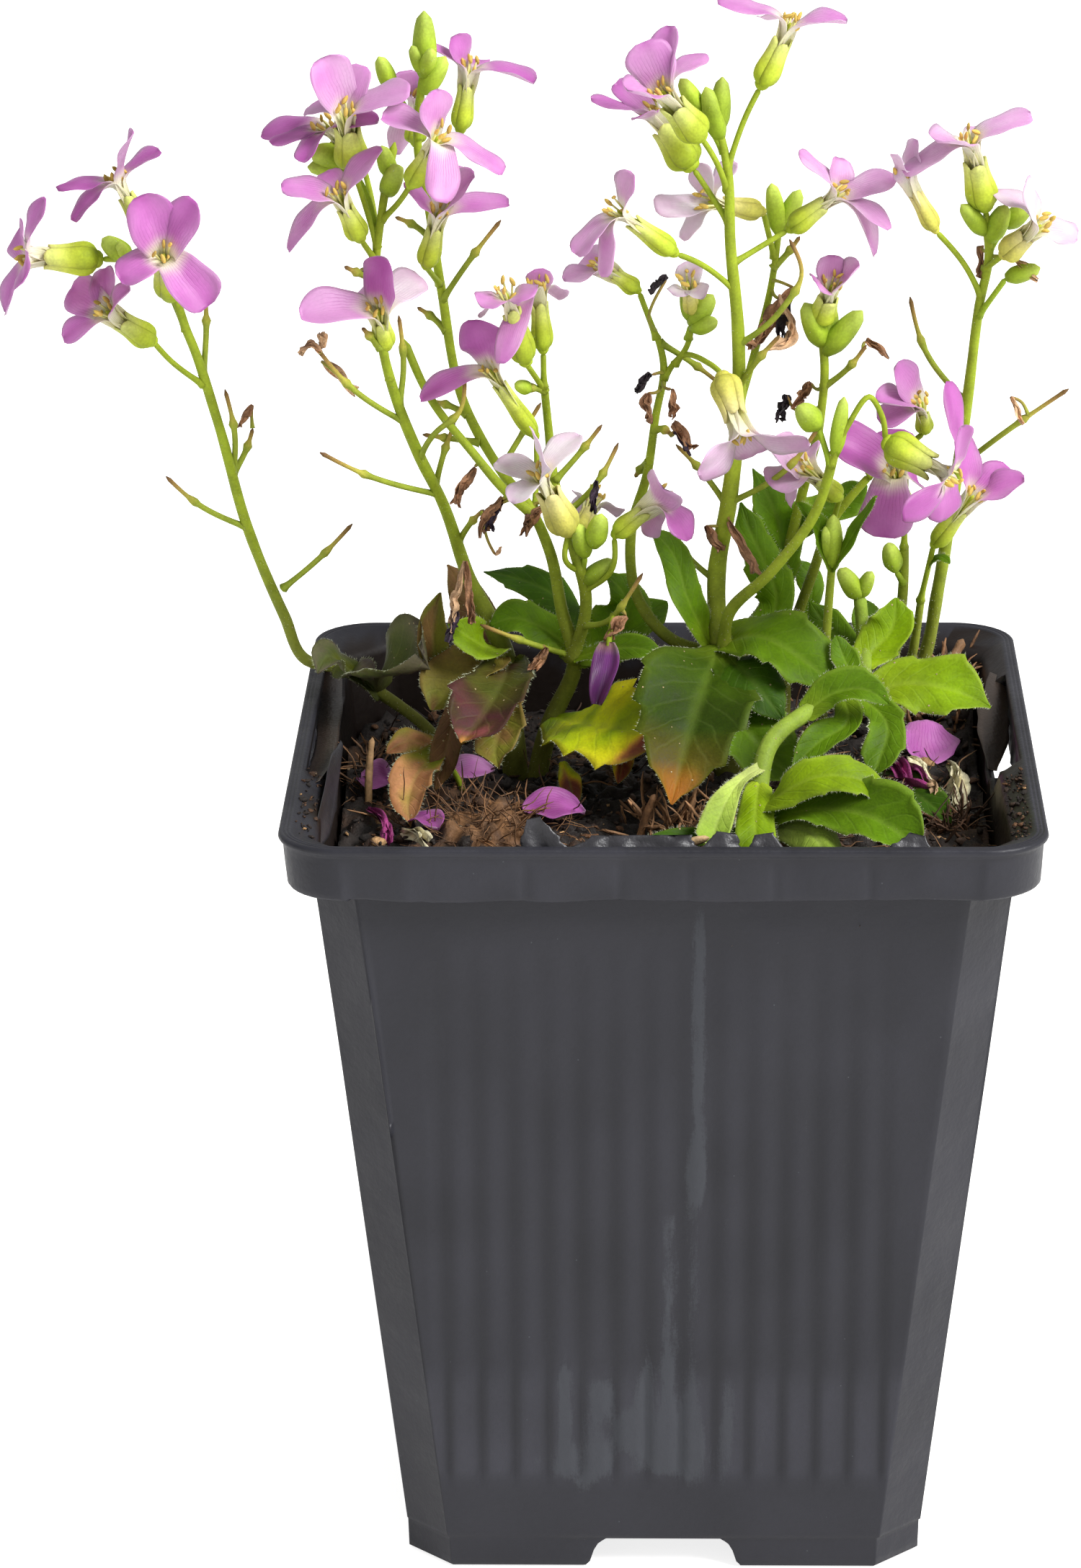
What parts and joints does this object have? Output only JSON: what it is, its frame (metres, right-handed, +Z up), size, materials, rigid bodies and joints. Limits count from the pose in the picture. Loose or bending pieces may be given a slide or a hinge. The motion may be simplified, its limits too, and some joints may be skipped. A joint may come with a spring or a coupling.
{
  "type": "potted rock cress",
  "caption": "Flowering rock cress with leggy stems and four-petalled pink flowers, growing in a small square nursery pot filled with peat.",
  "frame": {"origin": "centre of the pot's underside, on the surface that it stands on", "axes": "+Z up along the pot, +X to the pot's right side and +Y to its back as the picture shows it"},
  "size_m": [0.1298, 0.09, 0.189],
  "materials": {
    "pot_plastic": "thin thermoformed plastic, satin, dusty, with pale scuffs",
    "peat": "damp brown peat with fibres and bark",
    "green_growth": "soft green leaf and stem with fine hairs",
    "petal": "thin pink to pale lilac petal with fine veins",
    "yellowing_leaf": "yellow-green leaf with brown tips",
    "maroon_leaf": "olive leaf flushed with maroon",
    "grey_leaf": "folded grey-green leaf, felted below",
    "dying_leaf": "orange-brown dying leaf, still green along its midrib",
    "withered": "dry, papery brown petals and sepals"
  },
  "bodies": {
    "root": {"pot": "pot_plastic", "peat": "peat", "shoot_centre": "green_growth", "shoot_middle": "green_growth", "shoot_left": "green_growth", "shoot_far_left": "green_growth", "shoot_right": "green_growth", "shoot_back": "green_growth", "shoot_far_right": "green_growth", "shoot_front": "green_growth", "flower_far_left_1": "petal", "flower_far_left_2": "petal", "flower_far_left_3": "petal", "flower_far_left_4": "petal", "flower_left_1": "petal", "flower_left_2": "petal", "flower_left_3": "petal", "flower_left_4": "petal", "flower_left_5": "petal", "flower_middle_1": "petal", "flower_middle_2": "petal", "flower_middle_3": "petal", "flower_middle_4": "petal", "flower_middle_5": "petal", "flower_middle_6": "petal", "flower_middle_7": "petal", "flower_middle_8": "petal", "flower_middle_9": "petal", "flower_centre_1": "petal", "flower_centre_2": "petal", "flower_centre_3": "petal", "flower_centre_4": "petal", "flower_centre_5": "petal", "flower_centre_6": "petal", "flower_centre_7": "petal", "flower_centre_8": "petal", "flower_centre_9": "petal", "flower_centre_10": "petal", "flower_back_1": "petal", "flower_back_2": "petal", "flower_back_3": "petal", "flower_far_right_1": "petal", "flower_far_right_2": "petal", "flower_far_right_3": "petal", "flower_far_right_4": "petal", "flower_far_right_5": "petal", "leaf_yellow": "yellowing_leaf", "leaf_maroon": "maroon_leaf", "leaf_grey": "grey_leaf", "leaf_orange": "dying_leaf", "leaf_small": "yellowing_leaf", "fallen_petal_1": "petal", "fallen_petal_2": "petal", "fallen_petal_3": "petal", "fallen_petal_4": "petal", "fallen_petal_5": "petal", "withered_flower_1": "withered", "withered_flower_2": "petal"}
  },
  "joints": []
}
